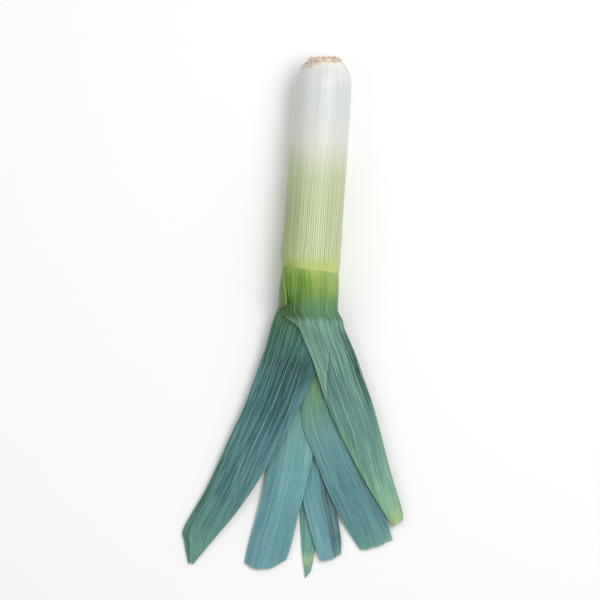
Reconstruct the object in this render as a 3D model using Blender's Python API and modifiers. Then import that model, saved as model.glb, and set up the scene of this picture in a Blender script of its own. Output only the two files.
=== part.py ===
"""A trimmed leek lying on its side: root end towards +Y, fan of cut leaves towards -Y, +Z up.

Sizes are in millimetres and become metres when a mesh is made. The origin is on the surface
that the leek lies on, under the middle of its bounds.
"""

import math
import random

import bmesh
import bpy
from mathutils import Vector

MM = 0.001
CLEARANCE = 0.6

# The leek is drawn round the middle of its neck, and this moves it over the middle of its bounds.
TO_MIDDLE = (0.5, -0.2, 0.0)

# The shaft leans a little in plan, from the root end to the mouth of the outer sheath.
ROOT_AXIS_X = 19.4
ROOT_AXIS_Y = 154.5
MOUTH_AXIS_X = 10.9
MOUTH_AXIS_Y = 32.5
AXIS_HEIGHT = 18.3
FLAT_DEPTH = 0.5
SIDES = 32

# Each pair is a distance along Y and the shaft's radius there.
SHAFT_PROFILE = [
    (163.2, 9.5), (162.6, 11.0), (161.4, 12.6), (159.6, 14.1), (157.2, 15.6), (154.0, 17.1), (150.0, 17.9),
    (143.0, 18.3), (135.0, 18.4), (118.0, 18.6), (100.0, 18.7), (80.0, 18.7), (62.0, 18.7), (50.0, 19.0),
    (41.0, 19.4), (36.2, 19.4),
]

# The neck is what the outer sheath's mouth holds: centre X, Y, half width, underside and top.
NECK_PROFILE = [
    (10.9, 35.6, 17.9, 1.6, 36.1),
    (10.7, 28.0, 18.2, 1.6, 35.4),
    (10.3, 20.0, 18.8, 1.7, 32.8),
    (9.9, 12.0, 19.1, 1.9, 29.6),
    (9.7, 4.0, 19.4, 2.2, 26.8),
]
NECK_END = 11.0

SLEEVE_WALL = 0.8
SLEEVE_ROOT = 40.0
SLEEVE_ROWS = 8
MOUTH_Y = 30.5
MOUTH_SLANT = 2.8
TORN_TIP_Y = 6.0
TORN_FROM = math.radians(130.0)
TORN_TO = math.radians(185.0)
TORN_NARROWING = math.radians(27.0)
NARROWING_FROM = math.radians(70.0)
TORN_LIFT = 0.35

# The plate is a low dome, and each ring of cropped roots is a radius, a foot on the dome and a number.
PLATE_PROFILE = [(163.6, 9.6), (163.9, 10.3), (164.5, 9.8), (165.1, 7.4), (165.5, 4.0)]
ROOT_RINGS = [(8.9, 164.6, 22), (6.3, 164.9, 14), (3.7, 165.1, 8), (1.3, 165.1, 3)]
ROOT_LENGTH = 2.3
ROOT_LENGTHS = (0.8, 1.3)
ROOT_SPLAY = 0.8
ROOT_SPLAY_RANGE = 0.15
ROOT_SPACING_RANGE = 0.3
ROOT_RADIUS = 0.85
ROOT_TAPER = 0.6
ROOT_SINK = 0.4
ROOT_SIDES = 5
ROOT_SEED = 7

LEAF_THICKNESS = 1.3
LEAF_ROWS = 24
LEAF_COLUMNS = 10
PLEAT_DEPTH = 0.12
KEEL_REACH = 0.3
CUT_SEED = 11
CUT_RAGGED = 0.5

# A leaf's first ribs are round, like the sheath they come out of, and it is an open blade from this rib on.
OPEN_RIB = 3.0
ROUND_ARCH = 0.5
TORN_SQUARENESS = 0.12

# Each keel is its places across the leaf at its foot and its end, from -1 to 1, and its height.
RIGHT_OUTER_KEEL = (-0.4, -0.4, 0.7)
LEFT_OUTER_KEEL = (-1.8, -0.2, 0.8)
RIGHT_INNER_KEEL = (0.0, 0.0, 0.4)
LEFT_INNER_KEEL = (-0.4, -0.4, 0.4)
CENTRE_KEEL = (0.2, 0.2, 0.3)
HEART_KEEL = (0.0, 0.0, 0.0)

# How far the middle of each cut end bows out.
RIGHT_OUTER_BOW = 0.8
LEFT_OUTER_BOW = 0.3
RIGHT_INNER_BOW = 1.0
LEFT_INNER_BOW = 5.5
CENTRE_BOW = 1.5
HEART_BOW = 0.6
NECK_RIBS = (18.0, NECK_END, 4.0)
NECK_RIB_SINK = 0.15

# A rib crosses a leaf: its left end, its right end, and how far its middle bows up between them.
RIGHT_OUTER_BLADE = [
    ((-4.5, -0.5, 19.6), (31.5, -2.0, 12.6), 8.6),
    ((3.0, -6.5, 22.8), (32.8, -7.5, 11.2), 6.6),
    ((8.0, -18.0, 20.0), (36.4, -16.0, 9.0), 4.5),
    ((13.0, -30.0, 17.5), (40.2, -25.0, 8.0), 3.5),
    ((20.6, -53.0, 13.6), (46.4, -43.0, 6.8), 3.0),
    ((29.6, -74.0, 11.0), (52.8, -62.5, 6.2), 2.5),
    ((45.6, -105.0, 8.2), (62.2, -98.5, 5.5), 1.6),
    ((59.0, -127.0, 5.5), (69.0, -121.5, 4.5), 0.8),
    ((63.5, -134.0, 4.6), (70.6, -129.5, 4.2), 0.4),
]
LEFT_OUTER_LEAF = [
    ((-6.5, 9.0, 14.0), (25.5, 9.0, 15.0), 9.0),
    ((-7.6, 3.0, 12.4), (24.0, 2.5, 15.2), 6.4),
    ((-14.0, -6.0, 11.6), (20.0, -9.0, 17.0), 3.8),
    ((-18.2, -20.0, 9.8), (17.0, -28.0, 15.0), 4.4),
    ((-21.4, -29.0, 8.6), (12.5, -39.5, 13.8), 4.0),
    ((-30.0, -53.0, 7.0), (-0.5, -66.0, 11.8), 3.0),
    ((-41.5, -78.5, 5.5), (-15.5, -93.5, 9.0), 2.5),
    ((-55.5, -109.0, 3.6), (-33.0, -120.5, 5.5), 2.0),
    ((-70.0, -134.5, 2.0), (-51.0, -142.5, 2.8), 1.2),
    ((-70.0, -143.5, 1.6), (-58.5, -151.5, 2.0), 0.8),
    ((-67.5, -157.0, 1.2), (-64.0, -158.0, 1.3), 0.2),
]
RIGHT_INNER_LEAF = [
    ((-3.5, 8.5, 13.0), (22.0, 8.5, 12.5), 5.5),
    ((-2.0, -8.5, 12.5), (25.0, -7.0, 10.8), 2.6),
    ((0.5, -29.0, 11.1), (28.5, -26.0, 9.7), 1.8),
    ((3.5, -49.5, 10.4), (31.5, -44.0, 8.4), 1.3),
    ((6.5, -71.0, 9.2), (34.0, -62.0, 7.0), 1.1),
    ((12.5, -87.0, 8.2), (38.0, -78.5, 6.4), 1.0),
    ((20.5, -108.0, 5.8), (45.5, -96.5, 5.5), 0.9),
    ((26.5, -121.0, 4.9), (51.5, -110.0, 4.6), 0.8),
    ((34.0, -135.5, 2.6), (58.5, -126.0, 3.4), 0.8),
    ((43.0, -149.5, 1.4), (63.5, -142.5, 1.6), 0.5),
]
LEFT_INNER_LEAF = [
    ((-5.0, 7.5, 10.0), (23.0, 7.5, 10.3), 2.0),
    ((-9.5, -18.0, 8.0), (20.0, -18.0, 7.9), 1.6),
    ((-11.0, -43.5, 6.2), (17.5, -45.5, 7.2), 2.2),
    ((-14.0, -72.5, 5.2), (14.5, -75.5, 6.3), 1.6),
    ((-17.0, -96.5, 4.3), (11.0, -95.5, 6.1), 1.5),
    ((-21.0, -116.5, 3.2), (5.5, -118.0, 5.3), 1.4),
    ((-29.0, -146.0, 1.8), (-1.5, -146.5, 2.2), 1.1),
    ((-31.5, -157.5, 1.3), (-4.5, -155.5, 1.4), 0.8),
]
CENTRE_LEAF = [
    ((-3.0, 7.0, 8.1), (22.0, 7.0, 8.1), -2.0),
    ((-1.0, -21.0, 6.0), (21.5, -21.0, 5.9), -1.0),
    ((0.5, -53.0, 4.5), (22.0, -53.0, 4.6), -0.4),
    ((1.5, -85.0, 3.6), (24.0, -84.0, 3.5), 0.0),
    ((3.5, -104.5, 3.4), (25.5, -103.0, 3.3), 0.2),
    ((6.5, -120.5, 3.2), (27.0, -119.0, 2.8), 0.3),
    ((13.0, -144.5, 3.3), (30.5, -142.0, 1.8), 0.3),
    ((17.0, -156.0, 2.9), (30.5, -151.5, 1.5), 0.2),
]
HEART_LEAF = [
    ((-1.0, 6.5, 5.4), (20.0, 6.5, 5.4), -2.2),
    ((0.5, -27.5, 3.2), (18.0, -27.5, 3.2), -1.0),
    ((1.5, -59.5, 1.9), (16.5, -59.5, 1.9), -0.3),
    ((3.0, -91.5, 1.3), (15.5, -91.5, 1.3), -0.1),
    ((4.5, -134.5, 0.9), (15.5, -133.0, 0.9), 0.0),
    ((5.5, -151.5, 0.85), (14.0, -149.0, 0.85), 0.0),
    ((7.5, -167.0, 0.85), (11.0, -162.5, 0.85), 0.0),
]


def clear_scene():
    for item in list(bpy.data.objects):
        bpy.data.objects.remove(item, do_unlink=True)


def new_collection(name):
    collection = bpy.data.collections.new(name)
    bpy.context.scene.collection.children.link(collection)
    return collection


def new_material(name, colour, roughness):
    material = bpy.data.materials.new(name)
    material.use_nodes = True
    shader = material.node_tree.nodes["Principled BSDF"]
    shader.inputs["Base Color"].default_value = (*colour, 1.0)
    shader.inputs["Roughness"].default_value = roughness
    shader.inputs["Metallic"].default_value = 0.0
    return material


def new_object(name, shape, collection, material=None):
    """Makes an object from a bmesh whose points are in millimetres."""
    bmesh.ops.translate(shape, vec=TO_MIDDLE, verts=shape.verts)
    bmesh.ops.scale(shape, vec=(MM, MM, MM), verts=shape.verts)
    mesh = bpy.data.meshes.new(name)
    shape.to_mesh(mesh)
    shape.free()
    mesh.shade_smooth()
    made = bpy.data.objects.new(name, mesh)
    if material:
        mesh.materials.append(material)
    collection.objects.link(made)
    return made


def fuse(body, pieces):
    """Joins every object of the collection to the body, and removes the collection."""
    union = body.modifiers.new("Union", "BOOLEAN")
    union.operation = "UNION"
    union.operand_type = "COLLECTION"
    union.collection = pieces
    union.solver = "EXACT"
    view = bpy.context.evaluated_depsgraph_get()
    joined = bpy.data.meshes.new_from_object(body.evaluated_get(view))
    body.modifiers.clear()
    body.data = joined
    for piece in list(pieces.objects):
        bpy.data.objects.remove(piece, do_unlink=True)
    bpy.data.collections.remove(pieces)


def between(table, place, column):
    """Reads a column of a table along Y, whose first rows lie furthest towards +Y."""
    for upper, lower in zip(table, table[1:]):
        if place >= lower[column]:
            share = (upper[column] - place) / (upper[column] - lower[column])
            share = max(0.0, min(1.0, share))
            return [a + (b - a) * share for a, b in zip(upper, lower)]
    return list(table[-1])


def axis_x(y):
    lean = (ROOT_AXIS_X - MOUTH_AXIS_X) / (ROOT_AXIS_Y - MOUTH_AXIS_Y)
    return MOUTH_AXIS_X + lean * (y - MOUTH_AXIS_Y)


def tube(rings, closed=True):
    """A grid rolled into a tube through elliptical rings, each a function of the angle."""
    shape = bmesh.new()
    rows = len(rings) - 1
    bmesh.ops.create_grid(shape, x_segments=SIDES, y_segments=rows, size=1.0)
    for point in shape.verts:
        angle = math.tau * (point.co.x + 1.0) / 2.0
        ring = rings[round(rows * (point.co.y + 1.0) / 2.0)]
        point.co = ring(angle)
    bmesh.ops.remove_doubles(shape, verts=shape.verts, dist=0.001)
    if closed:
        ends = [edge for edge in shape.edges if edge.is_boundary]
        bmesh.ops.holes_fill(shape, edges=ends, sides=0)
    bmesh.ops.triangulate(shape, faces=shape.faces)
    bmesh.ops.recalc_face_normals(shape, faces=shape.faces)
    return shape


def round_ring(y, radius):
    def place(angle):
        z = AXIS_HEIGHT + radius * math.sin(angle)
        if z < FLAT_DEPTH:
            z = 0.0
        return Vector((axis_x(y) + radius * math.cos(angle), y, z))

    return place


def neck_point(y, angle, outset):
    centre, _, half_width, bottom, top = between(NECK_PROFILE, y, 1)
    half_height = (top - bottom) / 2.0
    return Vector((
        centre + (half_width + outset) * math.cos(angle),
        y,
        (top + bottom) / 2.0 + (half_height + outset) * math.sin(angle),
    ))


def mouth_edge(angle):
    """How far the outer sheath reaches at an angle: a slanted mouth, and a torn strip on the left."""
    edge = MOUTH_Y - MOUTH_SLANT * math.cos(angle)
    if TORN_FROM < angle < TORN_TO:
        share = (angle - TORN_FROM) / (TORN_TO - TORN_FROM)
        edge += (TORN_TIP_Y - edge) * math.sin(math.pi * share) ** TORN_SQUARENESS
    return edge


def sleeve_ring(row):
    """One ring of the mouth: the torn strip lifts a little, and it widens from the mouth to its end."""

    def place(angle):
        before = (angle - NARROWING_FROM) / (TORN_FROM - NARROWING_FROM)
        after = (TORN_TO - angle) / (TORN_TO - TORN_FROM)
        beside_tear = max(0.0, min(before, after))
        y = SLEEVE_ROOT + (mouth_edge(angle) - SLEEVE_ROOT) * row / SLEEVE_ROWS
        height = max(0.0, min(1.0, (y - TORN_TIP_Y) / (MOUTH_Y - TORN_TIP_Y)))
        turned = angle + TORN_NARROWING * height * beside_tear
        outset = CLEARANCE + SLEEVE_WALL / 2.0 + TORN_LIFT * beside_tear
        point = neck_point(min(y, NECK_PROFILE[0][1]), turned, outset)
        point.y = y
        return point

    return place


def outer_sheath(collection, material):
    """The shaft, with the thin mouth that the leaves come out of and the torn strip beside it."""
    rings = [round_ring(y, radius) for y, radius in SHAFT_PROFILE]
    shaft = new_object("outer_sheath", tube(rings), collection, material)
    mouths = new_collection("mouths")
    sleeve = new_object("mouth", tube([sleeve_ring(row) for row in range(SLEEVE_ROWS + 1)], False), mouths)
    wall = sleeve.modifiers.new("Wall", "SOLIDIFY")
    wall.thickness = SLEEVE_WALL * MM
    wall.offset = 0.0
    fuse(shaft, mouths)


def root_stub(rng, radius, foot_y, angle):
    """One trimmed root: a short cone sunk well into the plate and splayed outwards."""
    splay = ROOT_SPLAY * radius / ROOT_RINGS[0][0] + rng.uniform(-ROOT_SPLAY_RANGE, ROOT_SPLAY_RANGE)
    outward = Vector((math.cos(angle), 0.0, math.sin(angle)))
    along = (Vector((0.0, 1.0, 0.0)) + outward * splay).normalized()
    length = ROOT_LENGTH * rng.uniform(*ROOT_LENGTHS)
    foot = Vector((axis_x(foot_y), foot_y, AXIS_HEIGHT)) + outward * radius
    tip_radius = ROOT_RADIUS * ROOT_TAPER
    stub = bmesh.new()
    bmesh.ops.create_cone(
        stub, cap_ends=True, segments=ROOT_SIDES, radius1=ROOT_RADIUS, radius2=tip_radius, depth=length
    )
    bmesh.ops.translate(stub, vec=(0.0, 0.0, length / 2.0 - ROOT_SINK), verts=stub.verts)
    turn = along.to_track_quat("Z", "Y").to_matrix().to_4x4()
    bmesh.ops.transform(stub, matrix=turn, verts=stub.verts)
    bmesh.ops.translate(stub, vec=foot, verts=stub.verts)
    return stub


def root_plate(collection, material):
    rings = [round_ring(y, radius) for y, radius in PLATE_PROFILE]
    plate = new_object("root_plate", tube(rings), collection, material)
    rng = random.Random(ROOT_SEED)
    stubs = new_collection("stubs")
    for radius, foot_y, count in ROOT_RINGS:
        turn = rng.uniform(0.0, math.tau)
        for index in range(count):
            shift = rng.uniform(-ROOT_SPACING_RANGE, ROOT_SPACING_RANGE)
            angle = turn + math.tau * (index + shift) / count
            new_object("stub", root_stub(rng, radius, foot_y, angle), stubs)
    fuse(plate, stubs)


def smooth_between(values, place):
    """Catmull-Rom reading of a list of vectors at a place from 0 to its last index."""
    last = len(values) - 1
    index = min(int(place), last - 1)
    share = place - index
    before = values[max(index - 1, 0)]
    start, end = values[index], values[index + 1]
    after = values[min(index + 2, last)]
    return 0.5 * (
        2.0 * start
        + (end - before) * share
        + (2.0 * before - 5.0 * start + 4.0 * end - after) * share**2
        + (3.0 * start - before - 3.0 * end + after) * share**3
    )


def leaf_sheet(ribs, keel, cut_bow, rng):
    """A leaf's middle surface through its ribs: keeled and pleated lengthwise, and cut across its end."""
    keel_foot, keel_end, keel_height = keel
    lefts = [Vector(rib[0]) for rib in ribs]
    rights = [Vector(rib[1]) for rib in ribs]
    bows = [Vector((rib[2], 0.0)) for rib in ribs]
    ragged = [rng.uniform(-CUT_RAGGED, CUT_RAGGED) for _ in range(LEAF_COLUMNS + 1)]
    shape = bmesh.new()
    bmesh.ops.create_grid(shape, x_segments=LEAF_COLUMNS, y_segments=LEAF_ROWS, size=1.0)
    for point in shape.verts:
        across = point.co.x
        along = (point.co.y + 1.0) / 2.0
        place = along * (len(ribs) - 1)
        left, right = smooth_between(lefts, place), smooth_between(rights, place)
        bow = smooth_between(bows, place).x
        blade = min(1.0, place / OPEN_RIB)
        spread = math.sin(across * math.pi / 2.0) * (1.0 - blade) + across * blade
        arch = max(0.0, 1.0 - spread * spread) ** (ROUND_ARCH + (1.0 - ROUND_ARCH) * blade)
        column = round((across + 1.0) / 2.0 * LEAF_COLUMNS)
        point.co = left.lerp(right, (spread + 1.0) / 2.0)
        off_keel = abs(across - keel_foot - (keel_end - keel_foot) * along)
        ridge = keel_height * max(0.0, 1.0 - off_keel / KEEL_REACH)
        point.co.z += bow * arch + blade * (ridge + PLEAT_DEPTH * (-1.0) ** column)
        if along > 1.0 - 0.5 / LEAF_ROWS:
            forward = (lefts[-1] + rights[-1] - lefts[-2] - rights[-2]).normalized()
            reach = cut_bow * (1.0 - across * across) + ragged[column]
            point.co.x += forward.x * reach
            point.co.y += forward.y * reach
    bmesh.ops.triangulate(shape, faces=shape.faces)
    bmesh.ops.recalc_face_normals(shape, faces=shape.faces)
    return shape


def leaf(name, ribs, keel, cut_bow, collection, material):
    rng = random.Random(f"{CUT_SEED} {name}")
    blade = new_object(name, leaf_sheet(ribs, keel, cut_bow, rng), collection, material)
    wall = blade.modifiers.new("Wall", "SOLIDIFY")
    wall.thickness = LEAF_THICKNESS * MM
    wall.offset = 0.0
    return blade


def neck_rib(y, inset):
    """A rib of the right outer leaf where it still wraps over the neck."""
    left = neck_point(y, math.pi, -inset)
    right = neck_point(y, 0.0, -inset)
    top = neck_point(y, math.pi / 2.0, -inset)
    return (tuple(left), tuple(right), top.z - left.z)


def right_outer_leaf(collection, material):
    """The leaf that wraps the neck as a closed sheath and then turns off to the right as a blade."""
    inset = LEAF_THICKNESS / 2.0 + NECK_RIB_SINK
    ribs = [neck_rib(y, inset) for y in NECK_RIBS] + RIGHT_OUTER_BLADE
    blade = leaf("right_outer_leaf", ribs, RIGHT_OUTER_KEEL, RIGHT_OUTER_BOW, collection, material)
    ends = [row[1] for row in NECK_PROFILE if row[1] > NECK_END] + [NECK_END]
    rings = [lambda angle, y=y: neck_point(y, angle, 0.0) for y in ends]
    necks = new_collection("necks")
    new_object("neck", tube(rings), necks)
    fuse(blade, necks)


def build():
    clear_scene()
    leek = new_collection("Leek")
    white = new_material("pale_sheath", (0.76, 0.79, 0.62), 0.42)
    beige = new_material("root_beige", (0.72, 0.60, 0.42), 0.85)
    dark = new_material("outer_leaf_green", (0.06, 0.14, 0.12), 0.48)
    light = new_material("inner_leaf_green", (0.13, 0.28, 0.27), 0.5)
    outer_sheath(leek, white)
    root_plate(leek, beige)
    right_outer_leaf(leek, dark)
    leaf("left_outer_leaf", LEFT_OUTER_LEAF, LEFT_OUTER_KEEL, LEFT_OUTER_BOW, leek, dark)
    leaf("right_inner_leaf", RIGHT_INNER_LEAF, RIGHT_INNER_KEEL, RIGHT_INNER_BOW, leek, light)
    leaf("left_inner_leaf", LEFT_INNER_LEAF, LEFT_INNER_KEEL, LEFT_INNER_BOW, leek, light)
    leaf("centre_leaf", CENTRE_LEAF, CENTRE_KEEL, CENTRE_BOW, leek, light)
    leaf("heart_leaf", HEART_LEAF, HEART_KEEL, HEART_BOW, leek, light)


build()
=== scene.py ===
"""A trimmed leek on its side, seen from straight above: root end towards +Y, cut leaves towards -Y."""

import math
import random

import bmesh
import bpy
import numpy as np
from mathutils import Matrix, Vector


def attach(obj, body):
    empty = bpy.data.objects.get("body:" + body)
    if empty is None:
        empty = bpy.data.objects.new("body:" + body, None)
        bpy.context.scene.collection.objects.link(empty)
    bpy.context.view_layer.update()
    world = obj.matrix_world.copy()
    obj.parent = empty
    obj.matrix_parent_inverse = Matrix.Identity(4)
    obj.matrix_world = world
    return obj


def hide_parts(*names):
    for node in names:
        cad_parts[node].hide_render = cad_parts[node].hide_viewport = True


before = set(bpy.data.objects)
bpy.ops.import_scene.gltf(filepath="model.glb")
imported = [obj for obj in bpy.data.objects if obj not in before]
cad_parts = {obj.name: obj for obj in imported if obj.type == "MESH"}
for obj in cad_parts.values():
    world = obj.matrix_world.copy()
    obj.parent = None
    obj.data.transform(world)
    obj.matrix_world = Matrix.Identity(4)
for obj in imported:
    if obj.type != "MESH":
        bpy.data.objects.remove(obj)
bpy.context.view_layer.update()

# Root plate: the hard disc that every leaf grows from, with its roots cropped to short ragged stubs.
# Cream to light brown dry fibre, rough, with painted shade darkening each stub towards its foot, where the
# stubs crowd together.
MM = 0.001
TO_MIDDLE = np.array((0.5, -0.2, 0.0))
SHAFT_AXIS_HEIGHT = 18.3
AXIS_ENDS = ((154.5, 19.4), (32.5, 10.9))
WELD = 0.0002
PLATE_PROFILE = [(163.25, 0.0), (163.25, 8.6), (163.35, 9.6), (163.7, 10.1), (164.3, 9.6),
                 (164.9, 7.8), (165.3, 4.5), (165.4, 0.0)]
PLATE_SIDES = 96
PLATE_FILL = 0.97
STUB_SEED = 5
STUB_COUNT = 440
STUB_SPREAD = 12.6
STUB_SHIFT = 1.9
STUB_WIDTHS = (0.24, 0.5)
STUB_LENGTHS = (0.6, 1.5)
STUB_STEPS = 6
STUB_SIDES = 8
STUB_TIP_LIMIT = 167.55
STUB_CLEARANCE = 0.3
LONG_STUB = 1.7
LONG_STUB_SHARE = 0.04
SHOULDER_STUB_EVERY = 5
FOOT_RADII = [0.0, 4.0, 7.4, 9.8, 10.4, 11.2, 12.6, 14.1, 15.6]
FOOT_PLACES = [165.3, 165.3, 164.9, 164.3, 163.5, 162.3, 161.2, 159.4, 157.0]
TUFTS = (-8.9, 7.4)
TUFT_REACH = 1.2
SHOULDER_TURN = 2.75
SHOULDER_SPREAD = 0.45


def shaft_axis_x(y):
    (far_y, far_x), (near_y, near_x) = AXIS_ENDS
    return near_x + (far_x - near_x) * (y - near_y) / (far_y - near_y)


def round_points(y, turns, girth):
    """A ring, or an open sheet of points, round the shaft's leaning axis."""
    x = shaft_axis_x(y) + girth * np.cos(turns)
    z = SHAFT_AXIS_HEIGHT + girth * np.sin(turns)
    return np.stack([x, np.broadcast_to(y, x.shape), z], axis=-1)


def unit(vectors):
    return vectors / np.maximum(np.linalg.norm(vectors, axis=-1, keepdims=True), 1e-9)


def paint(red, green, blue):
    """A colour in 0 to 255 screen values, as the linear light that a shader takes."""
    channels = [value / 255.0 for value in (red, green, blue)]
    linear = [c / 12.92 if c <= 0.04045 else ((c + 0.055) / 1.055) ** 2.4 for c in channels]
    return (*linear, 1.0)


def add_grid(shape, points, layers):
    """Adds a grid whose vertices take the rows and columns of an array of points, in millimetres."""
    rows, columns = points.shape[:2]
    made = bmesh.ops.create_grid(shape, x_segments=columns - 1, y_segments=rows - 1, size=1.0)
    values = [(shape.verts.layers.float.get(name), array) for name, array in layers.items()]
    for vertex in made["verts"]:
        column = round((vertex.co.x + 1.0) / 2.0 * (columns - 1))
        row = round((vertex.co.y + 1.0) / 2.0 * (rows - 1))
        vertex.co = points[row, column]
        for layer, array in values:
            vertex[layer] = float(array[row, column])


def new_piece(name, shape, material, node):
    """Welds a bmesh in millimetres into a smooth closed piece that stands for a node."""
    bmesh.ops.remove_doubles(shape, verts=shape.verts, dist=WELD)
    bmesh.ops.dissolve_degenerate(shape, edges=shape.edges, dist=WELD)
    bmesh.ops.recalc_face_normals(shape, faces=shape.faces)
    bmesh.ops.translate(shape, vec=TO_MIDDLE, verts=shape.verts)
    bmesh.ops.scale(shape, vec=(MM, MM, MM), verts=shape.verts)
    mesh = bpy.data.meshes.new(name)
    shape.to_mesh(mesh)
    shape.free()
    mesh.shade_smooth()
    mesh.materials.append(material)
    piece = bpy.data.objects.new(name, mesh)
    bpy.context.scene.collection.objects.link(piece)
    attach(piece, "root")
    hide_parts(node)


def add(tree, kind, sockets=None, **settings):
    """A shader node, whose sockets take a value each or a link from another socket."""
    made = tree.nodes.new(kind)
    for name, value in settings.items():
        setattr(made, name, value)
    for name, value in (sockets or {}).items():
        if isinstance(value, bpy.types.NodeSocket):
            tree.links.new(value, made.inputs[name])
        else:
            made.inputs[name].default_value = value
    return made


def mix(tree, share, first, second, blend="MIX"):
    sockets = {"Fac": share, "Color1": first, "Color2": second}
    return add(tree, "ShaderNodeMixRGB", sockets, blend_type=blend).outputs["Color"]


def ramp(tree, value, stops):
    """Stops are pairs of a place and a colour or a grey."""
    made = add(tree, "ShaderNodeValToRGB", {"Fac": value})
    elements = made.color_ramp.elements
    while len(elements) < len(stops):
        elements.new(0.5)
    for element, (place, colour) in zip(elements, stops):
        element.position = place
        element.color = colour if isinstance(colour, tuple) else (colour, colour, colour, 1.0)
    return made.outputs["Color"]


def attribute(tree, name):
    return add(tree, "ShaderNodeAttribute", attribute_name=name).outputs["Fac"]


def speckle(tree, vector, stretch, detail=2.0, seed=0.0):
    """Noise from 0 to 1 on a vector that is stretched first."""
    mapping = add(tree, "ShaderNodeMapping", {"Vector": vector, "Scale": stretch})
    mapping.inputs["Location"].default_value = (seed, seed * 1.7, seed * 0.6)
    sockets = {"Vector": mapping.outputs["Vector"], "Scale": 1.0, "Detail": detail}
    return add(tree, "ShaderNodeTexNoise", sockets).outputs["Fac"]


def new_material(name):
    material = bpy.data.materials.new(name)
    material.use_nodes = True
    return material, material.node_tree, material.node_tree.nodes["Principled BSDF"]


def object_place(tree):
    return add(tree, "ShaderNodeTexCoord").outputs["Object"]


def bump(tree, shader, height, strength, distance):
    sockets = {"Height": height, "Strength": strength, "Distance": distance}
    tree.links.new(add(tree, "ShaderNodeBump", sockets).outputs["Normal"], shader.inputs["Normal"])


def root_material():
    material, tree, shader = new_material("root_fibre")
    place = object_place(tree)
    tip = attribute(tree, "tip")
    # Painted shade: each stub darkens towards its foot, where the stubs crowd together; its dried tip is
    # browner again.
    tone = ramp(tree, tip, [(0.0, paint(214, 190, 160)), (0.3, paint(246, 228, 206)),
                            (0.75, paint(253, 245, 232)), (1.0, paint(232, 204, 172))])
    blotch = ramp(tree, speckle(tree, place, (420.0, 420.0, 420.0), 3.0), [(0.35, 0.78), (0.6, 1.0)])
    tone = mix(tree, 0.7, tone, blotch, "MULTIPLY")
    aged = ramp(tree, attribute(tree, "age"), [(0.45, 0.0), (0.9, 0.75)])
    tone = mix(tree, aged, tone, paint(196, 160, 124))
    tree.links.new(tone, shader.inputs["Base Color"])
    shader.inputs["Roughness"].default_value = 0.82
    bump(tree, shader, speckle(tree, place, (1500.0, 1500.0, 1500.0), 3.0), 0.5, 0.0002)
    return material


def stub_points(rng, on_shoulder):
    """One cropped root: a thin crooked stalk with a blunt torn end, as rings from its foot to its tip."""
    angle = rng.gauss(SHOULDER_TURN, SHOULDER_SPREAD) if on_shoulder else rng.uniform(0.0, math.tau)
    reach = STUB_SPREAD - STUB_SHIFT * math.cos(angle)
    radius = reach * (rng.uniform(0.8, 1.03) if on_shoulder else rng.random() ** 0.42)
    foot_y = float(np.interp(radius, FOOT_RADII, FOOT_PLACES))
    width = rng.uniform(*STUB_WIDTHS)
    length = rng.uniform(*STUB_LENGTHS) * (1.2 - 0.3 * radius / reach)
    in_tuft = min(abs(radius * math.cos(angle) - place) for place in TUFTS) < TUFT_REACH
    if in_tuft or rng.random() < LONG_STUB_SHARE:
        length *= LONG_STUB
    outward = np.array((math.cos(angle), 0.0, math.sin(angle)))
    sideways = np.array((-math.sin(angle), 0.0, math.cos(angle)))
    splay = (1.5 - 0.8 * math.cos(angle)) * (radius / STUB_SPREAD) ** 3
    lean = outward * (splay + rng.uniform(-0.35, 0.35))
    lean = lean + sideways * rng.uniform(-0.7, 0.7)
    heading = unit(np.array((0.0, 1.0, 0.0)) + lean)
    centre = np.array((shaft_axis_x(foot_y), foot_y, SHAFT_AXIS_HEIGHT)) + outward * radius
    bend = (outward * rng.uniform(-0.6, 0.6) + sideways * rng.uniform(-0.8, 0.8)) * length
    rings = []
    for step in range(STUB_STEPS + 1):
        share = step / STUB_STEPS
        middle = centre + heading * length * share + bend * share**2
        knob = 0.0 if step in (0, STUB_STEPS) else rng.uniform(0.75, 1.2)
        girth = width * (1.0 - 0.35 * share) * knob
        ring = []
        for side in range(STUB_SIDES + 1):
            turn = math.tau * (side % STUB_SIDES) / STUB_SIDES
            spoke = outward * math.cos(turn) + np.cross(heading, outward) * math.sin(turn)
            ring.append(middle + girth * spoke)
        rings.append(ring)
    points = np.array(rings)
    points[..., 1] = np.minimum(points[..., 1], STUB_TIP_LIMIT - STUB_CLEARANCE * rng.random())
    points[..., 2] = np.maximum(points[..., 2], STUB_CLEARANCE)
    return points


def root_plate():
    shape = bmesh.new()
    shape.verts.layers.float.new("tip")
    shape.verts.layers.float.new("age")
    rng = random.Random(STUB_SEED)
    turns = np.linspace(0.0, math.tau, PLATE_SIDES + 1)
    knobs = PLATE_FILL * (1.0 + 0.03 * np.cos(9.0 * turns) + 0.02 * np.cos(23.0 * turns + 1.0))
    plate = np.array([round_points(y, turns, radius * knobs) for y, radius in PLATE_PROFILE])
    whole = np.ones(plate.shape[:2])
    add_grid(shape, plate, {"tip": 0.5 * whole, "age": 0.0 * whole})
    for index in range(STUB_COUNT):
        points = stub_points(rng, index % SHOULDER_STUB_EVERY == 0)
        share = np.repeat(np.linspace(0.0, 1.0, len(points))[:, None], points.shape[1], axis=1)
        add_grid(shape, points, {"tip": share, "age": rng.random() * np.ones_like(share)})
    new_piece("cropped_roots", shape, root_material(), "root_plate")


root_plate()
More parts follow.
